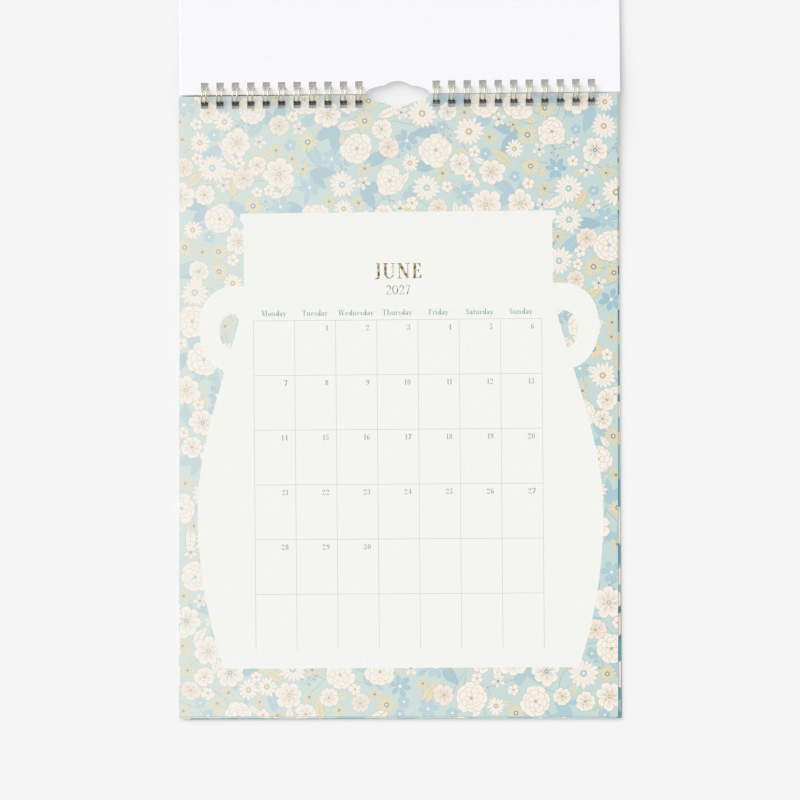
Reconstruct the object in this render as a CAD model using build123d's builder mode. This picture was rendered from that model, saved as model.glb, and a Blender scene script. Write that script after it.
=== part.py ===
"""Wall calendar bound by two twin-loop wire combs, lying open and flat with the first months turned over.

X runs along the binding, +Y up the page towards the turned sheets, +Z away from the floor that it lies
on. The origin is on the floor, under the middle of the binding. Lengths are in millimetres.
"""

import os
from math import ceil, cos, floor, hypot, radians, sin, sqrt

from build123d import *

# Sheets
page_width = 240.0
page_height = 340.0
leaf_thickness = 0.2
cover_thickness = 0.3
board_thickness = 0.5
turned_months = 5
coming_months = 6
air_gap = 0.1  # between sheets that turn apart
lift_length = 127.0  # how far from the binding the sheets leave the floor
half_gap = 0.2  # from the middle of the binding to the sheets' edges
turning_clearance = 0.15  # between a sheet that has been turned and the pile that it comes to lie on

# Punching
hole_pitch = 8.467  # three holes to the inch
hole_size = 4.0
hole_margin = 3.1  # from a sheet's edge to its holes
end_margin = 12.0  # least distance from the last hole's middle to the sheet's side

# Thumb cut between the two combs
cut_width = 35.0
cut_depth = 5.1
dome_radius = 12.0
dome_rise = 1.9  # how much deeper the dome in the middle is
cut_corner_radius = 2.0
cut_land = 1.5  # least width of sheet between the cut and the first holes

# Binding wire
wire_diameter = 0.9
wire_sides = 6
loop_chords = 14
tip_chords = 4
bend_chords = 2
side_clearance = 0.35  # beside each wire in its hole
edge_clearance = 0.25  # between a wire and the hole's edge next to the binding
seam_angle = 40.0  # from the loop's lowest point round to its open side
seam_bend_radius = 1.0

# The piles lie so far under the loops' axis that every sheet lands on top when it is turned.
coming_bottom = board_thickness + air_gap
month_bottom = coming_bottom + coming_months * leaf_thickness + air_gap
lower_pile = month_bottom + leaf_thickness
turned_bottom = cover_thickness + air_gap
upper_pile = turned_bottom + turned_months * leaf_thickness
half_height = (lower_pile + upper_pile) / 2 + turning_clearance

wire_radius = wire_diameter / 2
pair_spacing = hole_size - wire_diameter - 2 * side_clearance
loop_radius = hypot(half_gap + hole_margin + edge_clearance + wire_radius, half_height)
axis_height = loop_radius + wire_radius
punch_height = axis_height + half_height

# A sheet's underside leaves the floor in one arc and meets the binding at this height.
binding_lift = axis_height - half_height
lift_radius = (lift_length**2 + binding_lift**2) / (2 * binding_lift)

# The same punching pattern on every sheet: holes for two combs, with room for the thumb cut between.
skipped_holes = ceil((cut_width + hole_size + 2 * cut_land) / hole_pitch) - 1
first_hole = (skipped_holes + 1) / 2 * hole_pitch
loops_per_comb = floor((page_width / 2 - end_margin - first_hole) / hole_pitch) + 1
comb_places = [first_hole + n * hole_pitch for n in range(loops_per_comb)]
hole_row = half_gap + hole_margin + hole_size / 2


def side_view(side, bottom, top):
    """Sheets seen along the binding, between two heights over the floor. side is 1 for the turned ones."""

    def height_at_binding(height):
        return lift_radius - sqrt((lift_radius - height) ** 2 - lift_length**2)

    lift_start = half_gap + lift_length
    foot = half_gap + page_height
    with BuildSketch(Plane(origin=(0, 0, 0), x_dir=(0, side, 0), z_dir=(side, 0, 0))) as outline:
        with BuildLine():
            Line((foot, bottom), (lift_start, bottom))
            under = TangentArc(
                (lift_start, bottom), (half_gap, height_at_binding(bottom)), tangent=(-1, 0)
            )
            over = TangentArc(
                (lift_start, top), (half_gap, height_at_binding(top)), tangent=(-1, 0)
            )
            Line(under @ 1, over @ 1)
            Line((lift_start, top), (foot, top))
            Line((foot, top), (foot, bottom))
        make_face()
    return outline.sketch


def punching(side):
    """What is punched out of the sheets on one side of the binding, seen from above."""
    with BuildSketch() as cut:
        Ellipse(cut_width / 2, cut_depth)
        with Locations((0, cut_depth + dome_rise - dome_radius)):
            Circle(dome_radius)
        fillet(cut.vertices().sort_by(Axis.Y)[-2:], cut_corner_radius)
    with BuildSketch() as pattern:
        with Locations((0, half_gap)):
            add(cut.sketch)
        with Locations([(hand * place, hole_row) for place in comb_places for hand in (-1, 1)]):
            Rectangle(hole_size, hole_size)
        if side < 0:
            mirror(about=Plane.XZ, mode=Mode.REPLACE)
    return pattern.sketch


with BuildPart() as backing_board:
    extrude(side_view(-1, 0, board_thickness), amount=page_width / 2, both=True)
    extrude(punching(-1), amount=punch_height, mode=Mode.SUBTRACT)

with BuildPart() as coming_leaves:
    coming_top = coming_bottom + coming_months * leaf_thickness
    extrude(side_view(-1, coming_bottom, coming_top), amount=page_width / 2, both=True)
    extrude(punching(-1), amount=punch_height, mode=Mode.SUBTRACT)

with BuildPart() as month_leaf:
    extrude(side_view(-1, month_bottom, lower_pile), amount=page_width / 2, both=True)
    extrude(punching(-1), amount=punch_height, mode=Mode.SUBTRACT)

with BuildPart() as front_cover:
    extrude(side_view(1, 0, cover_thickness), amount=page_width / 2, both=True)
    extrude(punching(1), amount=punch_height, mode=Mode.SUBTRACT)

with BuildPart() as turned_leaves:
    extrude(side_view(1, turned_bottom, upper_pile), amount=page_width / 2, both=True)
    extrude(punching(1), amount=punch_height, mode=Mode.SUBTRACT)


def steps(first, last, count):
    return [first + (last - first) * n / count for n in range(count + 1)]


def wire_line(places):
    """The line of one comb's wire through its loops. Its bends are short chords, to keep the faces few."""
    outwards = Vector(0, -sin(radians(seam_angle)), -cos(radians(seam_angle)))
    onwards = Vector(1, 0, 0).cross(outwards)  # the way a loop heads as it reaches the seam
    half_pair = pair_spacing / 2
    bend_end = half_pair + seam_bend_radius

    def on_loop(angle):
        return Vector(half_pair, loop_radius * sin(angle), axis_height - loop_radius * cos(angle))

    loop = [on_loop(radians(angle)) for angle in steps(0, 360 - seam_angle, loop_chords)]
    bend_middle = loop[-1] + Vector(seam_bend_radius, 0, 0)
    bend = [
        bend_middle + (onwards * sin(radians(turn)) - Vector(cos(radians(turn)), 0, 0)) * seam_bend_radius
        for turn in steps(0, 90, bend_chords)
    ]
    tip = [
        Vector(half_pair * cos(radians(turn)), -half_pair * sin(radians(turn)), wire_radius)
        for turn in steps(180, 0, tip_chords)
    ]
    right_half = loop + bend[1:]
    left_half = [Vector(-point.X, point.Y, point.Z) for point in reversed(right_half)]
    twin_loop = left_half + tip[1:-1] + right_half
    half_run = Vector(hole_pitch / 2 - bend_end, 0, 0)
    line = [point + Vector(place, 0, 0) for place in places for point in twin_loop]
    return [line[0] - half_run, *line, line[-1] + half_run]


left_places = [-place for place in reversed(comb_places)]

with BuildPart() as binding_wire_left:
    with BuildLine():
        left_wire = Polyline(*wire_line(left_places))
    with BuildSketch(Plane(origin=left_wire @ 0, z_dir=left_wire % 0)):
        RegularPolygon(wire_radius, wire_sides)
    sweep(path=left_wire, transition=Transition.RIGHT)

with BuildPart() as binding_wire_right:
    with BuildLine():
        right_wire = Polyline(*wire_line(comb_places))
    with BuildSketch(Plane(origin=right_wire @ 0, z_dir=right_wire % 0)):
        RegularPolygon(wire_radius, wire_sides)
    sweep(path=right_wire, transition=Transition.RIGHT)

backing_board.part.label = "backing_board"
coming_leaves.part.label = "coming_leaves"
month_leaf.part.label = "month_leaf"
front_cover.part.label = "front_cover"
turned_leaves.part.label = "turned_leaves"
binding_wire_left.part.label = "binding_wire_left"
binding_wire_right.part.label = "binding_wire_right"

os.makedirs("parts", exist_ok=True)
export_step(backing_board.part, "parts/backing_board.step")
export_step(coming_leaves.part, "parts/coming_leaves.step")
export_step(month_leaf.part, "parts/month_leaf.step")
export_step(front_cover.part, "parts/front_cover.step")
export_step(turned_leaves.part, "parts/turned_leaves.step")
export_step(binding_wire_left.part, "parts/binding_wire_left.step")
export_step(binding_wire_right.part, "parts/binding_wire_right.step")
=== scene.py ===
# %% [markdown]
# # A wall calendar on twin-loop wire
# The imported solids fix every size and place. This lesson dresses them: it prints the leaves, bends the
# round binding wire, lays the sheets down as loose paper does, and lights them for one picture.

# %% Load the fixed frame
import random
from math import atan2, cos, pi, radians, sin, sqrt

import bpy
from mathutils import Matrix, Vector
from mathutils.geometry import delaunay_2d_cdt


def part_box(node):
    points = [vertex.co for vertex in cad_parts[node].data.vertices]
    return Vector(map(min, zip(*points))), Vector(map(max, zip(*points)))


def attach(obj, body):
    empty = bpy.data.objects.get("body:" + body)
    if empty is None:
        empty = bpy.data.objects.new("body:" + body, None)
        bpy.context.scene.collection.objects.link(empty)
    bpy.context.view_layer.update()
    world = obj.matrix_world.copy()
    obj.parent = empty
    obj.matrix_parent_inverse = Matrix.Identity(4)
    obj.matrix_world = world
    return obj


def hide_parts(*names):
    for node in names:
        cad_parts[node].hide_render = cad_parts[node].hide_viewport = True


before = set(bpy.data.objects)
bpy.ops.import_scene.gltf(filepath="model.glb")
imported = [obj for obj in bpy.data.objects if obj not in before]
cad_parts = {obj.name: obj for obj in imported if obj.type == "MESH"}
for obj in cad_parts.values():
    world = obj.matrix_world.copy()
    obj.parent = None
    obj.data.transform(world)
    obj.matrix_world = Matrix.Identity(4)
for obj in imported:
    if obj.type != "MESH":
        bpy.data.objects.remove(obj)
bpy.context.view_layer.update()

MM = 0.001

# %% [markdown]
# ## Sizes
# The frame gives the paper's width, height and heights over the floor, so nothing is measured twice.
# Only what a box can't tell is written here again, in millimetres, as the solids have it: the punching,
# the wire's bends, and how far from the binding the sheets start to rise towards the loops.

# %% Read the sheets' sizes from the frame
month_low, month_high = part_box("month_leaf")
page_side = month_high.x / MM
half_gap = -month_high.y / MM
page_foot = -month_low.y / MM
leaf_thickness = 0.2
sheet_thickness = 0.85 * leaf_thickness  # a loose sheet is a little thinner than its share of a pile
cover_thickness = 0.3
month_flat = month_low.z / MM
coming_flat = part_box("coming_leaves")[0].z / MM
turned_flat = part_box("turned_leaves")[0].z / MM
cover_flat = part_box("front_cover")[0].z / MM
coming_months = 6
turned_months = 5
print(f"page {2 * page_side:.1f} x {page_foot - half_gap:.1f} mm, month leaf {month_flat:.2f} mm up")

# %% Read the loops' sizes from the frame
wire_low, wire_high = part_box("binding_wire_right")
wire_diameter = 0.9
wire_radius = wire_diameter / 2
axis_height = (wire_low.z + wire_high.z) / 2 / MM
loop_radius = axis_height - wire_radius
pair_spacing = 2.4
hole_pitch = 8.467
loops_per_comb = 11
first_hole = 2.5 * hole_pitch
hole_size = 4.0
hole_row = 5.3
print(f"loops of {2 * loop_radius:.2f} mm about an axis {axis_height:.2f} mm up")

# %% [markdown]
# ## How the paper lies
# The sheets lie flat, then rise in one long arc to the loops that hold them. A sheet that is one layer
# higher follows the same arc round the same centre, so the layers never meet.

# %% The height of a sheet at any distance from the binding
lift_length = 127.0
lift_start = half_gap + lift_length
pile_half_height = 1.9  # from the loops' axis to the undermost sheet
binding_lift = axis_height - pile_half_height
lift_radius = (lift_length**2 + binding_lift**2) / (2 * binding_lift)


def lifted(distance, flat_height):
    """Height of a sheet over the floor, at a distance from the binding's middle."""
    run = max(lift_start - abs(distance), 0.0)
    return lift_radius - sqrt((lift_radius - flat_height) ** 2 - run**2)


print(f"the month leaf rises from {month_flat:.2f} to {lifted(half_gap, month_flat):.2f} mm")

# %% [markdown]
# ## Drawing with complex numbers
# Everything on a page is a flat shape, drawn in millimetres with the binding's middle as the origin and
# the page running down from it. A complex number is a handy point in the plane: adding one moves a shape
# and multiplying by one turns and enlarges it.

# %% Points, curves and strokes
def polar(radius, turn):
    return complex(radius * cos(turn), radius * sin(turn))


def arc(centre, radius, start, end, count):
    """Points along an arc from one angle to another, both ends included."""
    return [centre + polar(radius, start + (end - start) * n / count) for n in range(count + 1)]


def oval(centre, width, height, start, end, count):
    """Points along part of an ellipse, both ends included."""
    turns = [start + (end - start) * n / count for n in range(count + 1)]
    return [centre + complex(width / 2 * cos(turn), height / 2 * sin(turn)) for turn in turns]


def bezier(start, first, second, end, count):
    """Points along a cubic curve without its start, so that curves can follow one another."""
    points = []
    for n in range(1, count + 1):
        t = n / count
        s = 1 - t
        points.append(s**3 * start + 3 * s**2 * t * first + 3 * s * t**2 * second + t**3 * end)
    return points


def placed(shape, centre, size, turn):
    """A shape of about unit size, enlarged, turned and moved."""
    factor = polar(size, turn)
    return [centre + factor * point for point in shape]


def stroke(points, widths):
    """The outline of a line through some points, as wide at each as the list says."""
    left, right = [], []
    last = len(points) - 1
    for n, (point, width) in enumerate(zip(points, widths)):
        along = points[min(n + 1, last)] - points[max(n - 1, 0)]
        across = 1j * along / abs(along) * width / 2
        left.append(point + across)
        right.append(point - across)
    return left + right[::-1]


# %% [markdown]
# ## Punching
# A die punches every sheet alike: two rows of square holes and, between them, a thumb cut that gives a
# hook or a nail room. The cut is half an ellipse with a rounder dome in its middle, and the two corners
# where they meet are rounded off.

# %% The thumb cut and the holes
cut_width = 35.0
cut_depth = 5.1
dome_radius = 12.0
dome_rise = 1.9
cut_corner_radius = 2.0


def angle_from(centre, point):
    return atan2((point - centre).imag, (point - centre).real)


def on_ellipse(turn):
    return complex(cut_width / 2 * cos(turn), cut_depth * sin(turn))


def corner_middle(turn):
    """The middle of a rounded corner that touches the cut's ellipse at one turn from its right end."""
    outward = complex(cut_depth * cos(turn), cut_width / 2 * sin(turn))
    return on_ellipse(turn) + outward / abs(outward) * cut_corner_radius


def thumb_cut():
    """The cut in a page's upper edge, from its right end round to its left end."""
    dome_middle = 1j * (cut_depth + dome_rise - dome_radius)
    least, most = 0.0, pi / 2
    for _ in range(30):
        turn = (least + most) / 2
        if abs(corner_middle(turn) - dome_middle) > dome_radius + cut_corner_radius:
            least = turn
        else:
            most = turn
    corner = corner_middle(turn)
    corner_start = angle_from(corner, on_ellipse(turn))
    corner_end = angle_from(corner, dome_middle)
    dome_start = angle_from(dome_middle, corner)
    right_half = oval(0, cut_width, 2 * cut_depth, 0, turn, 12)
    right_half += arc(corner, cut_corner_radius, corner_start, corner_end, 4)[1:]
    right_half += arc(dome_middle, dome_radius, dome_start, pi / 2, 8)[1:]
    left_half = [-point.conjugate() for point in reversed(right_half[:-1])]
    return [point.conjugate() - 1j * half_gap for point in right_half + left_half]


out_of_square = 0.95  # how far to the left a page's foot was cut
low_corner = 0.4  # how far its upper left corner was cut below the upper right one


def page_outline(trim=0.0, skew=out_of_square, extra=0.0):
    """A page with its thumb cut, anticlockwise from the upper left corner. trim is how far to the right
    of its punching the page was cut, skew how far left its foot is, and extra how much longer it is."""
    left, right = trim - page_side, trim + page_side
    foot = complex(-skew, -page_foot - extra)
    corners = [complex(left, -half_gap - low_corner), left + foot, right + foot]
    return corners + [complex(right, -half_gap)] + thumb_cut()


square_corners = ((-1, -1), (1, -1), (1, 1), (-1, 1))


def holes():
    square = [complex(x, y) * hole_size / 2 for x, y in square_corners]
    middles = [hand * (first_hole + n * hole_pitch) for n in range(loops_per_comb) for hand in (-1, 1)]
    return [[complex(middle, -hole_row) + corner for corner in square] for middle in middles]


print(f"{len(holes())} holes, and {len(thumb_cut())} points round the thumb cut")

# %% [markdown]
# ## A print made of faces
# Print could be a picture laid on the paper, but it would blur close up. Here each printed shape is an
# outline in one ink, and a page keeps its shapes in the order in which they are printed. One Delaunay
# triangulation then cuts the page along all outlines at once, and each triangle takes the ink of the last
# shape that covers it. The print has no thickness, and the sheet stays one closed mesh.

# %% A page keeps its shapes in printing order
class Page:
    def __init__(self, ground, print_turn=0.0):
        self.ground = ground
        self.print_turn = polar(1, radians(print_turn))
        self.middle = -0.5j * (half_gap + page_foot)
        self.shapes = []

    def add(self, ink, outline):
        """Prints a shape. The whole print may stand a little crooked on its sheet, as it does here."""
        area = sum((a.conjugate() * b).imag for a, b in zip(outline, outline[1:] + outline[:1]))
        turned = [self.middle + (point - self.middle) * self.print_turn for point in outline]
        self.shapes.append((ink, turned if area > 0 else turned[::-1]))


same_spot = 1e-5  # points nearer than this to each other are one
overhang = 5  # how far the lines across run past the page on each side


def cut_along(outlines, lines_across):
    """Triangles within the outlines, each with the numbers of the outlines that cover it."""
    points, faces, edges = [], [], []
    for outline in outlines:
        faces.append(list(range(len(points), len(points) + len(outline))))
        points += outline
    for height in lines_across:
        edges.append((len(points), len(points) + 1))
        points += [complex(-page_side - overhang, height), complex(page_side + overhang, height)]
    flat = [Vector((point.real, point.imag)) for point in points]
    corners, _, triangles, given, _, covers = delaunay_2d_cdt(flat, edges, faces, 1, same_spot, True)
    return [complex(*corner) for corner in corners], triangles, given, covers


def open_edges(triangles):
    """The edges that have a triangle on one side only, each with that triangle on its left."""
    directed = {(triangle[n - 1], triangle[n]) for triangle in triangles for n in range(3)}
    return {start: end for start, end in directed if (end, start) not in directed}


def rim_loops(onward):
    """Follows open edges round into closed loops of corner numbers."""
    left_over = dict(sorted(onward.items()))
    loops = []
    while left_over:
        start, end = left_over.popitem()
        loop = [start]
        while end != start:
            loop.append(end)
            end = left_over.pop(end)
        loops.append(loop)
    return loops


# %% [markdown]
# Most of those cuts end up under a later shape, where nobody sees them. So the picture is cut a second
# time, along the edges that part two inks alone. It looks the same, with far fewer triangles.

# %% Drop the lines that later shapes have covered
straight = 0.001  # a corner this near to the line between its neighbours isn't needed


def drop_straight_corners(points, around, left):
    """Joins two edges in one where they meet in line and nothing else meets them."""
    for corner in sorted(around):
        if len(around[corner]) != 2:
            continue
        a, b = sorted(around[corner])
        span = points[b] - points[a]
        across = (points[corner] - points[a]) * span.conjugate()
        between = 0 < across.real < abs(span) ** 2
        if abs(across.imag) > straight * abs(span) or not between or b in around[a]:
            continue
        left[a, b], left[b, a] = left.get((a, corner)), left.get((corner, a))
        around[a] = (around[a] - {corner}) | {b}
        around[b] = (around[b] - {corner}) | {a}
        del around[corner]


def only_seen(points, inked, heights):
    """Cuts an inked picture again, along the edges that part two inks and the lines across alone."""
    left = {(corners[n - 1], corners[n]): ink for corners, ink in inked for n in range(3)}
    on_line = {
        n: y for y in heights for n, spot in enumerate(points) if abs(spot.imag - y) < straight
    }
    around = {}
    for (a, b), ink in left.items():
        if left.get((b, a)) != ink or (a in on_line and on_line[a] == on_line.get(b)):
            around.setdefault(a, set()).add(b)
            around.setdefault(b, set()).add(a)
    drop_straight_corners(points, around, left)

    numbers = sorted(around)
    position = {corner: n for n, corner in enumerate(numbers)}
    edges = [(a, b) for a in numbers for b in sorted(around[a]) if a < b]
    flat = [Vector((points[corner].real, points[corner].imag)) for corner in numbers]
    given = [(position[a], position[b]) for a, b in edges]
    cut_points, cut_edges, triangles, _, origins, _ = delaunay_2d_cdt(flat, given, [], 0, same_spot, True)
    spots = [complex(*spot) for spot in cut_points]
    sides = {}
    for (u, v), numbers_given in zip(cut_edges, origins):
        for number in numbers_given:
            a, b = edges[number]
            if ((spots[v] - spots[u]) * (points[b] - points[a]).conjugate()).real < 0:
                a, b = b, a
            sides[u, v], sides[v, u] = left.get((a, b)), left.get((b, a))
    return spots, spread_inks(triangles, sides)


def spread_inks(triangles, sides):
    """Gives each triangle the ink beside its edges, or else its neighbour's. What has none is left out."""
    beside = {(t[n - 1], t[n]): number for number, t in enumerate(triangles) for n in range(3)}
    inks_of = [None] * len(triangles)
    waiting = []
    for edge, number in beside.items():
        if sides.get(edge) is not None and inks_of[number] is None:
            inks_of[number] = sides[edge]
            waiting.append(number)
    while waiting:
        number = waiting.pop()
        for n in range(3):
            edge = (triangles[number][n - 1], triangles[number][n])
            neighbour = beside.get(edge[::-1])
            if edge not in sides and neighbour is not None and inks_of[neighbour] is None:
                inks_of[neighbour] = inks_of[number]
                waiting.append(neighbour)
    return [(list(t), ink) for t, ink in zip(triangles, inks_of) if ink is not None]


# %% Make a closed sheet of paper from a page
facet_run = 15.0  # the long arc of the lift is cut into facets of this length
lines_across = [-(half_gap + n * facet_run) for n in range(1, int(lift_length / facet_run) + 1)]


def printed_face(page, cut):
    """A sheet's printed face: its corners, its triangles and each triangle's ink."""
    outlines = [page_outline(**cut)] + [outline for ink, outline in page.shapes] + holes()
    corners, triangles, _, covers = cut_along(outlines, lines_across)
    first_hole_number = 1 + len(page.shapes)
    colours = [page.ground] + [ink for ink, outline in page.shapes]
    kept = [(t, max(c)) for t, c in zip(triangles, covers) if 0 in c and max(c) < first_hole_number]
    inked = [(triangle, colours[number]) for triangle, number in kept]
    corners, seen = only_seen(corners, inked, lines_across)
    print(f"{len(page.shapes)} shapes cut into {len(kept)} triangles, then into {len(seen)}")
    return corners, [triangle for triangle, ink in seen], [ink for triangle, ink in seen]


def plain_face(corners, onward):
    """The other face, within the same rim: its corners, its triangles, and which of its corners lies
    behind each corner of the rim."""
    loops = rim_loops(onward)
    outer = max(range(len(loops)), key=lambda n: len(loops[n]))
    loops = [loop if n == outer else loop[::-1] for n, loop in enumerate(loops)]
    outlines = [[corners[corner] for corner in loop] for loop in loops]
    rim_order = [corner for loop in loops for corner in loop]
    back_corners, triangles, given, covers = cut_along(outlines, lines_across)
    back = [t for t, c in zip(triangles, covers) if set(c) == {outer}]
    back_of = {rim_order[i]: n for n, group in enumerate(given) for i in group if i < len(rim_order)}
    return back_corners, back, back_of


def add_object(name, data):
    made = bpy.data.objects.new(name, data)
    bpy.context.scene.collection.objects.link(made)
    return made


def make_sheet(name, page, hand, printed_flat, back_flat, inks, turn=0.0, shift=0j, **cut):
    """A closed sheet. hand is -1 on the month leaf's side of the binding, with the print facing up, and
    1 on the other side, where the print faces the floor. The flat heights are those of its two faces, and
    cut says how its outline differs from the others'."""
    corners, front, used = printed_face(page, cut)
    onward = open_edges(front)
    back_corners, back, back_of = plain_face(corners, onward)

    twist = polar(1, radians(turn))
    points = []
    for corner, flat in [(c, printed_flat) for c in corners] + [(c, back_flat) for c in back_corners]:
        spot = (corner if hand < 0 else corner.conjugate()) * twist + shift
        points.append((spot.real * MM, spot.imag * MM, lifted(spot.imag, flat) * MM))
    count = len(corners)
    faces = list(front) + [[count + c, count + b, count + a] for a, b, c in back]
    faces += [[end, start, count + back_of[start], count + back_of[end]] for start, end in onward.items()]

    in_use = sorted({corner for face in faces for corner in face})
    place_of = {corner: n for n, corner in enumerate(in_use)}
    faces = [[place_of[corner] for corner in face] for face in faces]
    mesh = bpy.data.meshes.new(name)
    mesh.from_pydata([points[corner] for corner in in_use], [], faces)
    slots = sorted(set(used)) + ["paper"]
    for slot in slots:
        mesh.materials.append(inks[slot])
    numbers = {slot: n for n, slot in enumerate(slots)}
    slot_numbers = [numbers[ink] for ink in used] + [numbers["paper"]] * (len(faces) - len(front))
    mesh.polygons.foreach_set("material_index", slot_numbers)
    mesh.shade_smooth()
    mesh.set_sharp_from_angle(angle=radians(30))
    mesh.validate()
    print(f"{name}: {len(faces)} faces")
    return add_object(name, mesh)


# %% [markdown]
# ## Flowers
# The print is a generic small-flower pattern of this lesson's own. One formula could swell a rim once for
# each petal, but such flowers look like buttons. So a flower is drawn as an illustrator draws it: ring on
# ring of petals, each laid over the one before, so that a thin line shows where they overlap. No two
# petals are quite as long, and a heart with a ring of dots closes the middle.

# %% One petal
def petal_outline(width, dent=0.0, sharp=0.0):
    """A petal of length 1 from its foot. dent notches its end, and sharp, from 0 to 1, points it."""
    shoulder = 0.68 + 0.5j * width
    tip = complex(1 - dent, 0)
    side = bezier(0j, 0.2 + 0.1j * width, 0.38 + 0.5j * width, shoulder, 3)
    blunt = 1 - sharp
    crown = bezier(shoulder, shoulder + 0.22 * blunt, tip + dent + 0.26j * width * blunt, tip, 3)
    upper = side + crown
    return [0j] + upper + [spot.conjugate() for spot in upper[-2::-1]]


def grown(outline, middle, margin):
    """An outline pushed outwards from its middle, by a margin where it reaches furthest."""
    reach = max(abs(spot - middle) for spot in outline)
    return [middle + (spot - middle) * (1 + margin / reach) for spot in outline]


def disc(points=10):
    return [polar(1, 2 * pi * n / points) for n in range(points)]


print(f"a petal has {len(petal_outline(0.5))} points")

# %% One flower
line_width = 0.27


def print_veins(page, ink, veins, centre, length, width, angle):
    for vein in range(veins):
        spread = (vein - (veins - 1) / 2) * width * 0.28
        foot = centre + polar(length * 0.3, angle + spread * 0.8)
        tip = centre + polar(length * 0.72, angle + spread)
        page.add(ink, stroke([foot, tip], [line_width, line_width / 3]))


def print_flower(page, chooser, kind, colours, centre, size, turn):
    """A flower seen from above. colours are those of its petals, their lines, their flush and its heart."""
    petal_ink, line_ink, flush_ink, heart_ink = colours
    lined = line_ink != petal_ink
    for petals, reach, width, dent, sharp in kind["rings"]:
        shape = petal_outline(width, dent, sharp)
        ring_turn = turn + chooser.uniform(0, 2 * pi / petals)
        for n in range(petals):
            angle = ring_turn + 2 * pi * (n + chooser.uniform(-0.12, 0.12)) / petals
            length = size * reach * chooser.uniform(0.88, 1.08)
            petal = placed(shape, centre, length, angle)
            if lined:
                page.add(line_ink, grown(petal, centre + polar(0.6 * length, angle), line_width))
            page.add(petal_ink, petal)
            vein_ink = line_ink if lined else flush_ink
            print_veins(page, vein_ink, kind.get("veins", 0), centre, length, width, angle)
    heart = size * kind["heart"]
    for n in range(kind.get("dots", 0)):
        spot = centre + polar(heart * 1.5, turn + 2 * pi * n / kind["dots"])
        page.add(heart_ink, placed(disc(5), spot, size * 0.04, 0))
    page.add(heart_ink, placed(disc(), centre, heart, 0))
    if heart > 1.2:
        page.add(flush_ink, placed(disc(8), centre, heart * 0.45, 0))


# Each ring holds: petals, reach, a petal's width, its dent, its sharpness.
flower_kinds = {
    "peony": {"rings": [(8, 1.0, 0.74, 0.05, 0), (7, 0.74, 0.7, 0.05, 0), (5, 0.46, 0.74, 0.06, 0)],
              "heart": 0.12},
    "anemone": {"rings": [(7, 1.0, 0.66, 0.02, 0)], "veins": 3, "heart": 0.16, "dots": 11},
    "dahlia": {"rings": [(15, 1.0, 0.28, 0, 0.6), (12, 0.7, 0.28, 0, 0.6)], "heart": 0.24},
    "dog_rose": {"rings": [(5, 1.0, 0.96, 0.1, 0)], "veins": 3, "heart": 0.15, "dots": 8},
    "daisy": {"rings": [(12, 1.0, 0.3, 0, 0.2)], "heart": 0.27},
    "bellflower": {"rings": [(6, 1.0, 0.52, 0, 0.8)], "veins": 1, "heart": 0.14},
    "star": {"rings": [(5, 1.0, 0.5, 0, 1.0)], "veins": 1, "heart": 0.18},
    "speedwell": {"rings": [(5, 1.0, 0.84, 0.04, 0)], "heart": 0.2},
}
print("flowers:", ", ".join(flower_kinds))

# %% [markdown]
# ## Leaves, sprigs and berries
# A leaf is a line that swells and thins again, with a midrib. On a sprig, small leaves stand in pairs
# along a bent stem. Both fill the gaps and lie under the flowers.

# %% Green parts
def leaf_outline(width, bend=0.0, steps=8):
    """A leaf of length 1 from its stalk to its tip, bent to one side."""
    middle = [complex(n / steps, bend * sin(pi * n / steps)) for n in range(steps + 1)]
    half = [width / 2 * sin(pi * (n / steps) ** 0.85) for n in range(steps + 1)]
    upper = [point + 1j * h for point, h in zip(middle, half)]
    lower = [point - 1j * h for point, h in zip(middle, half)]
    return upper + lower[-2:0:-1]


def print_leaf(page, colours, base, length, turn, width=0.42, bend=0.0, side_veins=0):
    leaf_ink, vein_ink = colours
    if side_veins:
        page.add(vein_ink, placed(leaf_outline(width + 0.04, bend), base, length * 1.01, turn))
    page.add(leaf_ink, placed(leaf_outline(width, bend), base, length, turn))
    midrib = [complex(t, bend * sin(pi * t)) for t in (0.04, 0.35, 0.65, 0.92)]
    page.add(vein_ink, stroke(placed(midrib, base, length, turn), [0.28, 0.22, 0.16, 0.08]))
    for n in range(side_veins):
        foot = 0.16 + 0.66 * n / side_veins
        for hand in (-1, 1):
            vein = [complex(foot, bend * sin(pi * foot)), complex(foot + 0.13, hand * width * 0.34)]
            page.add(vein_ink, stroke(placed(vein, base, length, turn), [0.18, 0.08]))


def print_sprig(page, colours, base, length, turn, pairs):
    leaf_ink, stem_ink = colours
    bow = 0.18
    stem = [complex(t, bow * sin(pi * t)) for t in (0, 0.2, 0.4, 0.6, 0.8, 1)]
    page.add(stem_ink, stroke(placed(stem, base, length, turn), [0.32, 0.3, 0.28, 0.25, 0.22, 0.18]))
    for n in range(pairs):
        t = 0.25 + 0.65 * n / pairs
        foot = base + polar(length, turn) * complex(t, bow * sin(pi * t))
        for hand in (-1, 1):
            leaf_turn = turn + hand * (0.9 - 0.3 * t) + 0.4 * (0.5 - t)
            print_leaf(page, colours, foot, length * (0.34 - 0.12 * t), leaf_turn, 0.5)
    tip = base + polar(length, turn)
    print_leaf(page, colours, tip, length * 0.24, turn - 0.3, 0.5)


def print_berries(page, colours, base, length, turn, count):
    berry_ink, stem_ink = colours
    for n in range(count):
        t = (n + 1) / count
        side = 0.26 * (-1) ** n * (1.15 - t)
        fork = complex(max(t - 0.3, 0), 0)
        twig = [fork, complex(t - 0.1, side * 0.7), complex(t, side)]
        page.add(stem_ink, stroke(placed(twig, base, length, turn), [0.26, 0.22, 0.2]))
    for n in range(count):
        t = (n + 1) / count
        spot = base + polar(length, turn) * complex(t, 0.26 * (-1) ** n * (1.15 - t))
        page.add(berry_ink, placed(disc(9), spot, length * 0.09, 0))
        page.add(stem_ink, placed(disc(4), spot, length * 0.025, 0))


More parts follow.
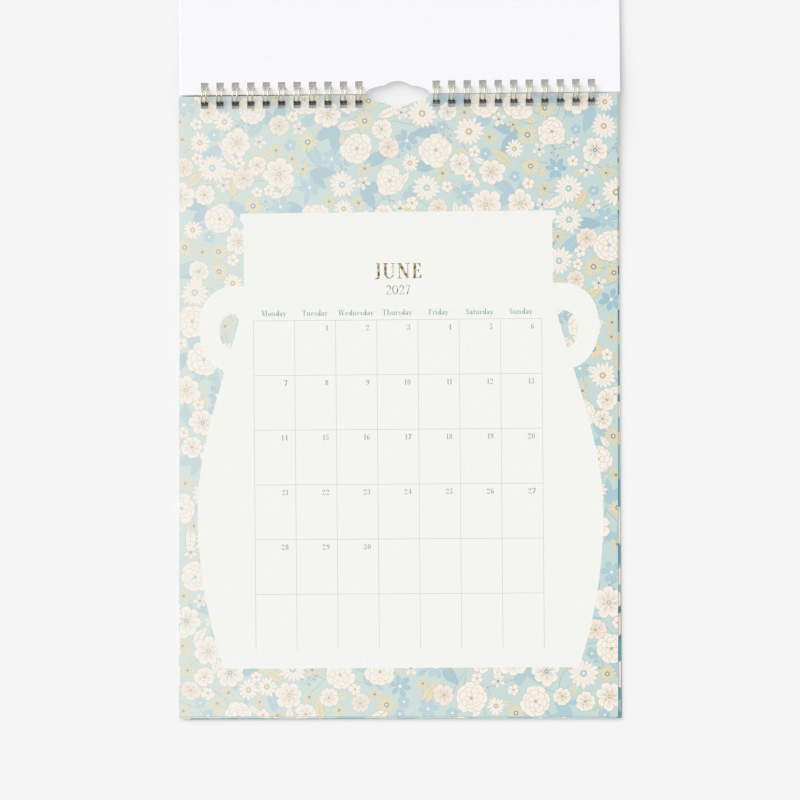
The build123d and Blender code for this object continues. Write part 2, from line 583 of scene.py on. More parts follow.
# %% [markdown]
# ## The jar that frames the month
# The days stand on a plain panel in the shape of a two-handled jar. One side of it is drawn as curves,
# the other mirrors it, and each handle is a band whose inner side leaves a window for the flowers.

# %% The jar's outline
jar_top = -64.3
jar_foot = -313.6
jar_rim_half_width = 86.6
jar_neck_half_width = 84.6
jar_belly = 111.2 - 228.0j
jar_foot_half_width = 97.0


def jar_side():
    """The jar's right side from its rim down to its foot."""
    lip_foot = complex(jar_rim_half_width, jar_top - 3.0)
    neck_top = complex(jar_neck_half_width, jar_top - 6.5)
    neck_foot = complex(jar_neck_half_width, -108.0)
    foot = complex(jar_foot_half_width, jar_foot)
    side = [complex(jar_rim_half_width - 0.5, jar_top), lip_foot]
    side += bezier(lip_foot, lip_foot - 2.0j, neck_top + 2.0j, neck_top, 4)
    side.append(neck_foot)
    side += bezier(neck_foot, neck_foot + 3.0 - 27.0j, jar_belly + 43.0j, jar_belly, 16)
    side += bezier(jar_belly, jar_belly - 34.0j, foot + 7.5 + 20.0j, foot, 12)
    return side


def handle():
    """The right handle, as a band that runs from the neck's foot out and back to the shoulder."""
    outer_top, outer_side, outer_foot = 80.0 - 104.5j, 109.5 - 126.5j, 93.0 - 151.0j
    inner_foot, inner_side, inner_top = 88.0 - 140.5j, 98.2 - 127.5j, 84.0 - 118.4j
    band = [outer_top]
    band += bezier(outer_top, 99.0 - 101.0j, 109.5 - 110.0j, outer_side, 12)
    band += bezier(outer_side, 109.5 - 140.0j, 103.0 - 149.0j, outer_foot, 10)
    band.append(inner_foot)
    band += bezier(inner_foot, 95.5 - 140.0j, 98.6 - 134.0j, inner_side, 10)
    band += bezier(inner_side, 97.6 - 120.0j, 92.0 - 118.0j, inner_top, 8)
    return band


def print_jar(page):
    side = jar_side()
    page.add("panel", side + [-point.conjugate() for point in reversed(side)])
    page.add("panel", handle())
    page.add("panel", [-point.conjugate() for point in handle()])


def behind_jar(centre, radius):
    """Whether a round shape would be wholly hidden by the jar."""
    heights = (centre.imag - radius, centre.imag, centre.imag + radius)
    if heights[0] < jar_foot or heights[2] > jar_top:
        return False
    side = jar_side()
    for height in heights:
        nearest = min(side, key=lambda point: abs(point.imag - height))
        if abs(centre.real) + radius > nearest.real:
            return False
    return True


print(f"jar {2 * jar_belly.real:.0f} mm wide, {len(jar_side())} points down each side")

# %% [markdown]
# ## Letters
# Blender's own font has no serifs, so a small set of letters is drawn with two pens: a thick one for
# stems and the sides of bowls, and a thin one for bars, serifs and joins. Letters are one unit high.

# %% Pens
thick = 0.15
thin = 0.045


def stem(x, low, high):
    return [stroke([complex(x, low), complex(x, high)], [thick, thick])]


def hair(x0, y0, x1, y1):
    return [stroke([complex(x0, y0), complex(x1, y1)], [thin, thin])]


def slant(x0, y0, x1, y1):
    return [stroke([complex(x0, y0), complex(x1, y1)], [thick * 1.05, thick * 1.05])]


def feet(y, *places):
    """Serifs at one height, each given as its middle."""
    inward = thin / 2 if y < 0.01 else -thin / 2
    return [shape for x in places for shape in hair(x - 0.14, y + inward, x + 0.14, y + inward)]


def bowl(x, y, width, height, start=0, end=360, pen=thick):
    """A round stroke about a middle, thick at its sides and thin above and below."""
    first, last = radians(start), radians(end)
    steps = max(5, round(abs(end - start) / 24))
    outer = oval(complex(x, y), width + pen, height + thin, first, last, steps)
    inner = oval(complex(x, y), width - pen, height - thin, first, last, steps)
    if abs(end - start) < 360:
        return [outer + inner[::-1]]
    half = steps // 2
    return [outer[: half + 1] + inner[: half + 1][::-1], outer[half:] + inner[half:][::-1]]


def beak(x, y, height):
    """The wedge at the end of a bar, hanging if its height is negative."""
    return [[complex(x - 0.16, y), complex(x, y), complex(x, y + height), complex(x - 0.05, y + height)]]


def drop(x, y, size=0.085):
    return [placed(disc(8), complex(x, y), size, 0)]


# %% The letters and figures that a calendar needs
def arch(x, reach):
    """The thin arm of n and h, which springs from a stem and comes down in another."""
    return bowl(x + reach / 2, 0.36, reach, 0.5, 0, 165) + stem(x + reach, 0, 0.38)


glyphs = {
    "J": (0.5, stem(0.3, 0.1, 1) + feet(1, 0.3) + bowl(0.2, 0.1, 0.2, 0.24, -140, 0)),
    "U": (0.84, stem(0.2, 0.3, 1) + feet(1, 0.2, 0.66) + hair(0.66, 0.3, 0.66, 1)
          + bowl(0.43, 0.3, 0.46, 0.56, 180, 270) + bowl(0.43, 0.3, 0.48, 0.56, 270, 345)),
    "N": (0.88, hair(0.18, 0, 0.18, 1) + hair(0.7, 0, 0.7, 1) + slant(0.2, 0.97, 0.68, 0.04)
          + feet(0, 0.18) + feet(1, 0.16, 0.7)),
    "E": (0.7, stem(0.22, 0, 1) + hair(0.08, 0.97, 0.58, 0.97) + hair(0.22, 0.52, 0.46, 0.52)
          + hair(0.08, 0.03, 0.6, 0.03) + beak(0.58, 0.99, -0.24) + beak(0.62, 0.01, 0.26)
          + hair(0.46, 0.4, 0.46, 0.64)),
    "L": (0.66, stem(0.22, 0, 1) + feet(1, 0.22) + hair(0.08, 0.03, 0.58, 0.03) + beak(0.6, 0.01, 0.28)),
    "Y": (0.78, slant(0.14, 1, 0.4, 0.46) + hair(0.68, 1, 0.42, 0.46) + stem(0.4, 0, 0.48)
          + feet(1, 0.14, 0.68) + feet(0, 0.4)),
    "A": (0.82, hair(0.12, 0, 0.4, 0.98) + slant(0.4, 0.98, 0.68, 0) + hair(0.2, 0.33, 0.58, 0.33)
          + feet(0, 0.12, 0.68)),
    "R": (0.82, stem(0.22, 0, 1) + hair(0.08, 0.97, 0.4, 0.97) + hair(0.22, 0.5, 0.4, 0.5)
          + bowl(0.38, 0.735, 0.34, 0.45, -90, 90) + slant(0.42, 0.5, 0.68, 0.03) + feet(0, 0.22, 0.7)),
    "M": (1.0, hair(0.16, 0, 0.16, 1) + slant(0.18, 0.97, 0.48, 0.05) + hair(0.48, 0.05, 0.78, 0.97)
          + stem(0.82, 0, 1) + feet(0, 0.16, 0.82) + feet(1, 0.14, 0.84)),
    "T": (0.76, stem(0.38, 0, 1) + hair(0.06, 0.97, 0.7, 0.97) + hair(0.07, 0.74, 0.07, 0.97)
          + hair(0.69, 0.74, 0.69, 0.97) + feet(0, 0.38)),
    "W": (1.08, slant(0.1, 1, 0.34, 0.02) + hair(0.34, 0.02, 0.54, 0.9) + slant(0.5, 1, 0.74, 0.02)
          + hair(0.74, 0.02, 0.96, 1) + feet(1, 0.1, 0.5, 0.96)),
    "F": (0.66, stem(0.22, 0, 1) + hair(0.08, 0.97, 0.56, 0.97) + hair(0.22, 0.5, 0.44, 0.5)
          + beak(0.58, 0.99, -0.26) + hair(0.44, 0.38, 0.44, 0.62) + feet(0, 0.22)),
    "S": (0.6, bowl(0.3, 0.745, 0.3, 0.46, 30, 250) + bowl(0.29, 0.265, 0.34, 0.48, -150, 80)
          + slant(0.2, 0.58, 0.42, 0.42) + hair(0.47, 0.72, 0.47, 0.96) + hair(0.1, 0.04, 0.1, 0.3)),
    "a": (0.54, stem(0.4, 0, 0.42) + bowl(0.27, 0.43, 0.26, 0.34, 0, 150) + bowl(0.22, 0.17, 0.24, 0.3)
          + drop(0.14, 0.48, 0.06)),
    "d": (0.66, bowl(0.28, 0.3, 0.3, 0.56) + stem(0.5, 0, 1) + feet(1, 0.46) + feet(0, 0.54)),
    "e": (0.54, bowl(0.27, 0.3, 0.3, 0.56, 12, 325) + hair(0.12, 0.34, 0.46, 0.34)),
    "h": (0.7, stem(0.16, 0, 1) + arch(0.16, 0.36) + feet(0, 0.16, 0.52) + feet(1, 0.12)),
    "i": (0.34, stem(0.17, 0, 0.6) + drop(0.17, 0.82) + feet(0, 0.17) + feet(0.6, 0.13)),
    "n": (0.7, stem(0.16, 0, 0.6) + arch(0.16, 0.36) + feet(0, 0.16, 0.52) + feet(0.6, 0.12)),
    "o": (0.58, bowl(0.29, 0.3, 0.32, 0.56)),
    "r": (0.46, stem(0.16, 0, 0.6) + bowl(0.3, 0.4, 0.24, 0.36, 60, 160) + drop(0.38, 0.52, 0.075)
          + feet(0, 0.16) + feet(0.6, 0.12)),
    "s": (0.46, bowl(0.23, 0.44, 0.2, 0.26, 30, 240) + bowl(0.22, 0.16, 0.22, 0.27, -150, 70)
          + slant(0.16, 0.36, 0.3, 0.25)),
    "t": (0.42, stem(0.19, 0.1, 0.78) + hair(0.04, 0.58, 0.37, 0.58)
          + bowl(0.28, 0.12, 0.18, 0.2, 180, 330)),
    "u": (0.68, stem(0.14, 0.16, 0.6) + bowl(0.31, 0.2, 0.34, 0.36, 190, 340) + stem(0.5, 0, 0.6)
          + feet(0.6, 0.1, 0.46) + feet(0, 0.54)),
    "y": (0.6, slant(0.12, 0.6, 0.32, 0.04) + hair(0.52, 0.6, 0.24, -0.22) + drop(0.17, -0.2, 0.07)
          + feet(0.6, 0.1, 0.52)),
    "0": (0.62, bowl(0.31, 0.5, 0.34, 0.94)),
    "1": (0.44, stem(0.24, 0, 1) + feet(0, 0.24) + hair(0.08, 0.86, 0.24, 0.97)),
    "2": (0.6, bowl(0.29, 0.73, 0.3, 0.48, -35, 165) + hair(0.44, 0.6, 0.1, 0.08) + drop(0.15, 0.74)
          + [[complex(0.06, 0), complex(0.54, 0), complex(0.56, 0.24), complex(0.5, 0.13),
              complex(0.1, 0.13)]]),
    "3": (0.58, bowl(0.27, 0.75, 0.28, 0.44, -90, 150) + bowl(0.27, 0.27, 0.32, 0.48, -150, 90)
          + drop(0.14, 0.78, 0.07) + drop(0.12, 0.2)),
    "4": (0.62, stem(0.42, 0, 1) + hair(0.42, 0.98, 0.06, 0.3) + hair(0.04, 0.29, 0.6, 0.29)
          + feet(0, 0.42)),
    "5": (0.58, hair(0.14, 0.5, 0.14, 0.95) + bowl(0.26, 0.3, 0.32, 0.56, -150, 130) + drop(0.12, 0.18)
          + [[complex(0.12, 0.86), complex(0.5, 0.86), complex(0.52, 1), complex(0.12, 1)]]),
    "6": (0.6, bowl(0.31, 0.29, 0.32, 0.54) + bowl(0.41, 0.42, 0.52, 1.06, 100, 195)
          + drop(0.44, 0.88, 0.07)),
    "7": (0.58, slant(0.5, 0.92, 0.24, 0) + hair(0.08, 0.74, 0.08, 0.99)
          + [[complex(0.06, 0.86), complex(0.54, 0.86), complex(0.56, 1), complex(0.06, 1)]]),
    "8": (0.6, bowl(0.3, 0.75, 0.26, 0.44) + bowl(0.3, 0.27, 0.32, 0.48)),
    "9": (0.6, bowl(0.29, 0.71, 0.32, 0.54) + bowl(0.19, 0.58, 0.52, 1.06, -80, 15)
          + drop(0.16, 0.12, 0.07)),
}


# The year stands in rounder figures, drawn with a lighter pen.
light = 0.11
light_figures = {
    "2": (0.7, bowl(0.34, 0.72, 0.42, 0.52, -32, 165, light) + hair(0.52, 0.58, 0.1, 0.04)
          + drop(0.16, 0.72, 0.05) + hair(0.08, 0.03, 0.6, 0.03) + hair(0.6, 0.02, 0.63, 0.2)),
    "0": (0.82, bowl(0.41, 0.5, 0.6, 0.94, 0, 360, light)),
    "7": (0.68, hair(0.1, 0.96, 0.6, 0.96) + hair(0.1, 0.78, 0.1, 0.98)
          + [stroke([complex(0.59, 0.96), complex(0.27, 0)], [thin, light])]),
}


def print_text(page, ink, text, place, height, spacing=0.0, anchor=0.5, stretch=1.0, letters=glyphs):
    """Prints a word. place is on its base line, a share of the width from its left end."""
    width = sum(letters[letter][0] for letter in text) + spacing * (len(text) - 1)
    x = -anchor * width
    for letter in text:
        advance, shapes = letters[letter]
        for shape in shapes:
            page.add(ink, [place + height * complex(stretch * (p.real + x), p.imag) for p in shape])
        x += advance + spacing


print(f"{len(glyphs)} letters and figures")

# %% [markdown]
# ## The month's table
# Seven columns and six rows of thin lines hold the days. The last row stays open below, as in many
# printed calendars, and each date stands in the upper right corner of its field.

# %% Lines, names and dates
table_top = -123.2
table_middle = -0.6
column_width = 22.56
row_height = 29.96
rule_width = 0.22
weekdays = ["Monday", "Tuesday", "Wednesday", "Thursday", "Friday", "Saturday", "Sunday"]
weekday_height = 3.1
weekday_rise = 2.6  # from the table's upper line to the names' base line
date_height = 3.0
date_margin = 4.0  # from a date to the right side of its field
date_drop = 5.6  # from a field's upper line to its date's base line
month_name_place = complex(table_middle + 0.7, -100.6)
month_name_height = 8.4
year = "2027"
year_place = complex(table_middle + 0.6, -109.3)
year_height = 5.0


def print_table(page, first_day, days):
    columns, rows = len(weekdays), 6
    left = table_middle - columns / 2 * column_width
    right = table_middle + columns / 2 * column_width
    foot = table_top - rows * row_height
    for column in range(columns + 1):
        x = left + column * column_width
        page.add("rule", stroke([complex(x, table_top), complex(x, foot)], [rule_width, rule_width]))
    for row in range(rows):
        y = table_top - row * row_height
        page.add("rule", stroke([complex(left, y), complex(right, y)], [rule_width, rule_width]))
    for column, name in enumerate(weekdays):
        middle = complex(left + (column + 0.5) * column_width, table_top + weekday_rise)
        print_text(page, "lettering", name, middle, weekday_height, stretch=1.09)
    for day in range(1, days + 1):
        row, column = divmod(first_day + day - 1, columns)
        field_right = left + (column + 1) * column_width
        corner = complex(field_right - date_margin, table_top - row * row_height - date_drop)
        print_text(page, "lettering", str(day), corner, date_height, anchor=1.0, stretch=1.2)


def print_month(page, name, first_day, days):
    print_jar(page)
    print_text(page, "foil", name, month_name_place, month_name_height, spacing=0.03, stretch=1.06)
    print_text(page, "foil", year, year_place, year_height, stretch=0.94, letters=light_figures)
    print_table(page, first_day, days)


# %% [markdown]
# ## Strewing the flowers
# Flowers of each size are thrown at the page like darts, the largest first, and one that would land on
# another is thrown again. Then leaves, sprigs and berries fill what is left. A fixed seed makes every
# throw the same on each run. Leaves are printed first, so that the flowers lie over them.

# %% Throw the motifs
cream = ("cream", "line", "blush", "ochre")
cream_blue = ("cream", "line", "blush", "blue")
blush = ("blush", "line", "cream", "ochre")
blue = ("blue", "blue", "pale_blue", "cream")
deep = ("deep_blue", "deep_blue", "blue", "cream")
yellow = ("yellow", "ochre", "cream", "slate")
cream_slate = ("cream", "line", "blush", "slate")

strewn_flowers = [
    ("peony", 9.0, 26, [cream, cream_blue]),
    ("anemone", 8.2, 24, [cream, cream_slate]),
    ("dahlia", 7.9, 20, [cream_blue, cream]),
    ("bellflower", 6.6, 18, [deep, blue]),
    ("dog_rose", 5.8, 32, [cream, cream, blush]),
    ("daisy", 5.4, 34, [yellow, cream, yellow]),
    ("star", 4.4, 80, [yellow, cream_slate, yellow]),
    ("speedwell", 3.4, 70, [cream, cream, blue]),
]
strewn_greens = [
    ("leaf_pair", 8.2, 80),
    ("leaf", 6.8, 70),
    ("sprig", 8.0, 60),
    ("veined_leaf", 6.0, 40),
    ("berries", 4.2, 30),
    ("small_leaf", 3.4, 50),
    ("twig", 2.4, 70),
]
throws_each = 25  # throws at most for each motif that is wanted
flower_crowding = 0.86  # how near flowers may stand, as a share of their radii together
green_crowding = 0.6


def throw(chooser, radius, wanted, taken, crowding, hidden):
    """Places for round motifs of one size, clear of those already taken."""
    found = []
    for _ in range(wanted * throws_each):
        spot = complex(chooser.uniform(-page_side, page_side), -chooser.uniform(half_gap, page_foot))
        if any(abs(spot - other) < crowding * (radius + room) for other, room in taken):
            continue
        if hidden(spot, radius):
            continue
        taken.append((spot, radius))
        found.append(spot)
        if len(found) == wanted:
            break
    return found


def print_green(page, chooser, kind, radius, spot):
    turn = chooser.uniform(0, 2 * pi)
    base = spot - polar(radius, turn)
    length = 2 * radius * chooser.uniform(0.95, 1.2)
    if kind == "leaf":
        colours = chooser.choice([("blue", "deep_blue"), ("deep_blue", "blue"), ("blue", "pale_blue")])
        print_leaf(page, colours, base, length, turn, 0.46, chooser.uniform(-0.12, 0.12))
    elif kind == "leaf_pair":
        leaf_ink = chooser.choice(["blue", "deep_blue"])
        for hand in (-1, 1):
            leaf_turn = turn + hand * chooser.uniform(0.35, 0.6)
            leaf_length = length * chooser.uniform(0.7, 0.95)
            print_leaf(page, (leaf_ink, leaf_ink), base, leaf_length, leaf_turn)
    elif kind == "veined_leaf":
        colours = chooser.choice([("cream", "line"), ("yellow", "ochre")])
        print_leaf(page, colours, base, length, turn, 0.4, chooser.uniform(-0.1, 0.1), side_veins=4)
    elif kind == "small_leaf":
        colours = chooser.choice([("blue", "deep_blue"), ("cream", "line"), ("yellow", "ochre")])
        print_leaf(page, colours, base, length, turn, 0.44)
    elif kind == "sprig":
        colours = chooser.choice([("blue", "stalk"), ("deep_blue", "stalk"), ("cream", "stalk")])
        print_sprig(page, colours, base, length * 0.85, turn, 3)
    elif kind == "twig":
        bow = chooser.uniform(-0.22, 0.22)
        line = [complex(t, bow * sin(pi * t)) for t in (-0.5, -0.2, 0.1, 0.4, 0.7, 1.0)]
        widths = [0.26, 0.25, 0.24, 0.22, 0.2, 0.16]
        page.add("stalk", stroke(placed(line, spot, 2.2 * length, turn), widths))
    else:
        colours = chooser.choice([("deep_blue", "stalk"), ("yellow", "stalk")])
        print_berries(page, colours, base, length, turn, 5)


def strew(page, seed, hidden, scale=1.0):
    """Covers a page with motifs. At a scale over 1 they are larger and fewer."""
    chooser = random.Random(seed)
    taken, flowers, greens = [], [], []
    for kind, radius, wanted, colourways in strewn_flowers:
        count = round(wanted / scale**2)
        for spot in throw(chooser, scale * radius, count, taken, flower_crowding, hidden):
            size = scale * radius * chooser.uniform(0.92, 1.08)
            flowers.append((kind, chooser.choice(colourways), spot, size, chooser.uniform(0, 2 * pi)))
    for kind, radius, wanted in strewn_greens:
        count = round(wanted / scale**2)
        for spot in throw(chooser, scale * radius, count, taken, green_crowding, hidden):
            greens.append((kind, scale * radius, spot))
    for kind, radius, spot in greens:
        print_green(page, chooser, kind, radius, spot)
    chooser.shuffle(flowers)
    for kind, colours, spot, size, turn in flowers:
        print_flower(page, chooser, flower_kinds[kind], colours, spot, size, turn)
    print(f"strewn: {len(flowers)} flowers, {len(greens)} leaves and sprigs")


# %% [markdown]
# ## Inks
# Ink on matt paper takes the paper's own tooth and mottling, so each ink is a paper material in that
# ink's colour. A painted sheen pales the print towards the left, where the light rakes over it.

# %% Colours are given as the eye sees them
def linear(colour):
    """A colour in steps of 255, as Blender's shaders count it."""
    shares = [channel / 255 for channel in colour]
    return [s / 12.92 if s <= 0.04045 else ((s + 0.055) / 1.055) ** 2.4 for s in shares] + [1.0]


# %% Helpers for nodes
def new_material(name):
    """A new material, its tree, its shader, and a socket that gives places in the object's own frame."""
    material = bpy.data.materials.new(name)
    material.use_nodes = True
    tree = material.node_tree
    place = tree.nodes.new("ShaderNodeTexCoord").outputs["Object"]
    return material, tree, tree.nodes["Principled BSDF"], place


def set_inputs(tree, node, inputs):
    """Sets a node's inputs. A socket is linked, a node is linked from its first output, and anything
    else is the input's value."""
    for key, value in inputs.items():
        if isinstance(value, bpy.types.Node):
            value = value.outputs[0]
        if isinstance(value, bpy.types.NodeSocket):
            tree.links.new(value, node.inputs[key])
        else:
            node.inputs[key].default_value = value


def add_node(tree, kind, inputs, **settings):
    """A new node. Its settings come first, because they decide which inputs it has."""
    node = tree.nodes.new(kind)
    for name, value in settings.items():
        setattr(node, name, value)
    set_inputs(tree, node, inputs)
    return node


def add_math(tree, operation, *values):
    return add_node(tree, "ShaderNodeMath", dict(enumerate(values)), operation=operation).outputs[0]


def add_noise(tree, place, scale, detail, roughness=0.5):
    inputs = {"Vector": place, "Scale": scale, "Detail": detail, "Roughness": roughness}
    return add_node(tree, "ShaderNodeTexNoise", inputs).outputs["Fac"]


def add_range(tree, value, given, wanted):
    """Maps a value from the two ends given to the two ends wanted."""
    inputs = {"Value": value, "From Min": given[0], "From Max": given[1]}
    inputs |= {"To Min": wanted[0], "To Max": wanted[1]}
    return add_node(tree, "ShaderNodeMapRange", inputs).outputs["Result"]


def add_mix(tree, factor, first, second, blend="MIX"):
    inputs = {"Factor": factor, "A": first, "B": second}
    return add_node(tree, "ShaderNodeMix", inputs, data_type="RGBA", blend_type=blend).outputs["Result"]


def add_tones(tree, value, stops, interpolation="LINEAR"):
    """The colour that a ramp gives for a value. Each stop is a spot from 0 to 1 and its colour."""
    node = add_node(tree, "ShaderNodeValToRGB", {"Fac": value})
    node.color_ramp.interpolation = interpolation
    elements = node.color_ramp.elements
    for n, (spot, colour) in enumerate(stops):
        element = elements[n] if n < 2 else elements.new(spot)
        element.position = spot
        element.color = linear(colour)
    return node.outputs["Color"]


def add_tooth(tree, surface, place, scale=1800.0, depth=0.00002):
    """Paper's fine tooth, as a bump."""
    grain = add_noise(tree, place, scale, 3.0)
    bump = add_node(tree, "ShaderNodeBump", {"Strength": 0.35, "Distance": depth, "Height": grain})
    set_inputs(tree, surface, {"Normal": bump})


# %% Ink on paper
painted_sheen_left = 0.34  # how far a painted sheen takes an ink towards the pale colour at the page's left side
sheen_colour = (248, 247, 241)


def ink_material(name, colour, painted_sheen=painted_sheen_left):
    material, tree, surface, place = new_material(name)
    across = add_node(tree, "ShaderNodeSeparateXYZ", {"Vector": place}).outputs["X"]
    # painted sheen: the ink pales towards the page's left side, for the raking light's glare there
    sheen_across = add_range(tree, across, (-page_side * MM, page_side * MM), (painted_sheen, 0.0))
    sheened = add_mix(tree, sheen_across, linear(colour), linear(sheen_colour))
    mottle = add_range(tree, add_noise(tree, place, 420.0, 4.0), (0.3, 0.7), (0.988, 1.008))
    toned = add_mix(tree, 1.0, sheened, mottle, "MULTIPLY")
    set_inputs(tree, surface, {"Base Color": toned, "Roughness": 0.62, "Specular IOR Level": 0.3})
    add_tooth(tree, surface, place)
    return material


# %% Foil, board and wire
def foil_material(name):
    """Hot-stamped foil: bright metal that follows the paper's tooth, so it glints unevenly."""
    material, tree, surface, place = new_material(name)
    glint = add_noise(tree, place, 420.0, 2.0)
    tones = add_tones(tree, glint, [(0.4, (104, 82, 38)), (0.6, (218, 198, 156))])
    set_inputs(tree, surface, {"Base Color": tones, "Metallic": 0.85, "Roughness": 0.34})
    add_tooth(tree, surface, place, depth=0.00004)
    return material


def board_material(name):
    """Greyboard: pressed waste paper, flecked with darker and lighter fibres."""
    material, tree, surface, place = new_material(name)
    fibres = add_noise(tree, place, 1100.0, 6.0, 0.7)
    tones = add_tones(tree, fibres, [(0.3, (176, 174, 170)), (0.7, (206, 204, 200))])
    set_inputs(tree, surface, {"Base Color": tones, "Roughness": 0.8})
    add_tooth(tree, surface, place, scale=900.0, depth=0.00005)
    return material


darkens_before = 0.8  # how far short of the holes' edges the wire's painted shade starts
darkest_before = 0.2  # how far short of the loops' inner side the painted shade is darkest


def wire_material(name):
    """Binding wire in a pale champagne, uneven in tone and gloss. A painted shade, with the dark reflection
    of the holes, darkens it where it runs down into the leaves' holes."""
    material, tree, surface, place = new_material(name)
    drift = add_noise(tree, place, 260.0, 2.0)
    tones = add_tones(tree, drift, [(0.3, (214, 209, 182)), (0.7, (238, 234, 212))])
    down_page = add_node(tree, "ShaderNodeSeparateXYZ", {"Vector": place}).outputs["Y"]
    pale_end = -(hole_row - hole_size / 2 - darkens_before) * MM
    dark_start = -(loop_radius - wire_radius - darkest_before) * MM
    in_hole = add_range(tree, down_page, (pale_end, dark_start), (0.0, 1.0))
    # painted shade where the wire runs down into the holes
    hole_shaded = add_mix(tree, in_hole, tones, linear((62, 50, 34)))
    gloss = add_range(tree, drift, (0.0, 1.0), (0.16, 0.28))
    set_inputs(tree, surface, {"Base Color": hole_shaded, "Roughness": gloss, "Metallic": 0.85})
    return material


# %% The leaves that only show their edges
def other_months_material(name):
    """A mosaic of the print's own inks."""
    material, tree, surface, place = new_material(name)
    fields = add_node(tree, "ShaderNodeTexVoronoi", {"Vector": place, "Scale": 120.0})
    pick = add_node(tree, "ShaderNodeSeparateColor", {"Color": fields.outputs["Color"]})
    stops = [(0.0, (96, 158, 170)), (0.3, (232, 228, 214)), (0.55, (150, 186, 196)),
             (0.75, (86, 128, 140)), (0.86, (222, 214, 186))]
    tones = add_tones(tree, pick.outputs["Red"], stops, "CONSTANT")
    set_inputs(tree, surface, {"Base Color": tones, "Roughness": 0.65})
    add_tooth(tree, surface, place)
    return material


# %% All inks
ink_colours = {
    "ground": (198, 218, 215),
    "cream": (246, 239, 229),
    "blush": (243, 231, 219),
    "line": (196, 181, 160),
    "blue": (174, 204, 213),
    "deep_blue": (160, 194, 207),
    "pale_blue": (199, 219, 225),
    "yellow": (228, 219, 187),
    "ochre": (203, 187, 146),
    "slate": (138, 160, 168),
    "stalk": (158, 167, 158),
}
plain_colours = {
    "panel": (244, 245, 241),
    "rule": (186, 199, 202),
    "lettering": (150, 173, 174),
    "paper": (246, 245, 248),
}
inks = {name: ink_material("ink_" + name, colour) for name, colour in ink_colours.items()}
# the panel, rules, lettering and paper get no painted sheen
inks |= {name: ink_material("ink_" + name, colour, 0.0) for name, colour in plain_colours.items()}
inks["foil"] = foil_material("gold_foil")
inks["other_months"] = other_months_material("other_months_print")
print("inks:", ", ".join(sorted(inks)))

# %% [markdown]
# ## The leaves
# June lies on show. January's page is the undermost of the turned leaves and July's is next under June,
# so both appear when the leaves turn. Each sheet stands a little crooked on the wire, as loose sheets do
# whose holes are wider than the wire.

# %% June
print_turn = 0.25  # the whole print stands a little crooked on its sheet


def month_page(seed, name, first_day, days, scale=1.0):
    page = Page("ground", print_turn)
    strew(page, seed, behind_jar, scale)
    print_month(page, name, first_day, days)
    return page


june_turn = -0.18
june_shift = 0.1j  # so far up, its holes clear the wire although it is turned
june = month_page(6, "JUNE", 1, 30)
month_leaf = make_sheet(
    "month_leaf_june", june, -1, month_flat + leaf_thickness, month_flat, inks, june_turn, june_shift
)
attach(month_leaf, "month_leaf")
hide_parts("month_leaf")

# %% July, under it
july_skew = 2.2  # July shows a little past June at the lower left
coming_extra = 1.0  # and all leaves to come show along the foot
july_turn = -0.12
july_shift = 0.1 + 0.15j
july_low = coming_flat + coming_months * leaf_thickness - sheet_thickness
july = month_page(7, "JULY", 3, 31, scale=1.3)
july_leaf = make_sheet(
    "coming_leaf_july", july, -1, july_low + sheet_thickness, july_low, inks, july_turn, july_shift,
    skew=july_skew, extra=coming_extra
)
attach(july_leaf, "coming_leaves")
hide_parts("coming_leaves")

# %% January, turned over
january_turn = -0.1
january = month_page(1, "JANUARY", 4, 31, scale=1.35)
january_top = turned_flat + sheet_thickness
january_leaf = make_sheet(
    "turned_leaf_january", january, 1, turned_flat, january_top, inks, january_turn, trim=0.9
)
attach(january_leaf, "turned_leaves")
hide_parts("turned_leaves")

# %% The front cover, with flowers all over and the year in a plain oval
cover_turn = -0.05
cover_oval_middle = -150.0j
cover_oval_width = 96.0
cover_oval_height = 72.0
cover_year_height = 18.0
cover_page = Page("ground")


def behind_oval(centre, radius):
    return abs(centre - cover_oval_middle) + radius < cover_oval_height / 2


strew(cover_page, 12, behind_oval, scale=1.4)
cover_oval = oval(cover_oval_middle, cover_oval_width, cover_oval_height, 0, 2 * pi, 48)
cover_page.add("panel", cover_oval[:-1])
cover_year_place = cover_oval_middle - cover_year_height / 2 * 1j
print_text(cover_page, "foil", year, cover_year_place, cover_year_height, spacing=0.04)
front_cover = make_sheet(
    "front_cover_card", cover_page, 1, cover_flat, cover_flat + cover_thickness, inks, cover_turn
)
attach(front_cover, "front_cover")
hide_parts("front_cover")

# %% [markdown]
# ## The other sheets
# Between the printed pages lie sheets that show only their edges. They are alike, so Geometry Nodes lays
# them: one sheet, instanced up a short line of points, with a small random turn and shift for each.
# Realize Instances then makes the pile a real mesh.

# %% Helpers for node trees
def new_tree(name, inputs):
    """A Geometry Nodes tree with a geometry output and the given inputs. Returns it and their sockets."""
    tree = bpy.data.node_groups.new(name, "GeometryNodeTree")
    tree.interface.new_socket("Geometry", in_out="OUTPUT", socket_type="NodeSocketGeometry")
    tree.interface.new_socket("Geometry", in_out="INPUT", socket_type="NodeSocketGeometry")
    for label, kind in inputs.items():
        tree.interface.new_socket(label, in_out="INPUT", socket_type="NodeSocket" + kind)
    start = tree.nodes.new("NodeGroupInput")
    end = tree.nodes.new("NodeGroupOutput")
    return tree, start, end


def run_tree(source, tree, values, name):
    """Runs a tree on an object and returns the result as a plain mesh object."""
    modifier = source.modifiers.new(tree.name, "NODES")
    modifier.node_group = tree
    for item in tree.interface.items_tree:
        if item.in_out == "INPUT" and item.name in values:
            modifier[item.identifier] = values[item.name]
    evaluated = source.evaluated_get(bpy.context.evaluated_depsgraph_get())
    mesh = bpy.data.meshes.new_from_object(evaluated)
    mesh.name = name
    source.modifiers.remove(modifier)
    bpy.data.objects.remove(source)
    print(f"{name}: {len(mesh.polygons)} faces")
    return add_object(name, mesh)


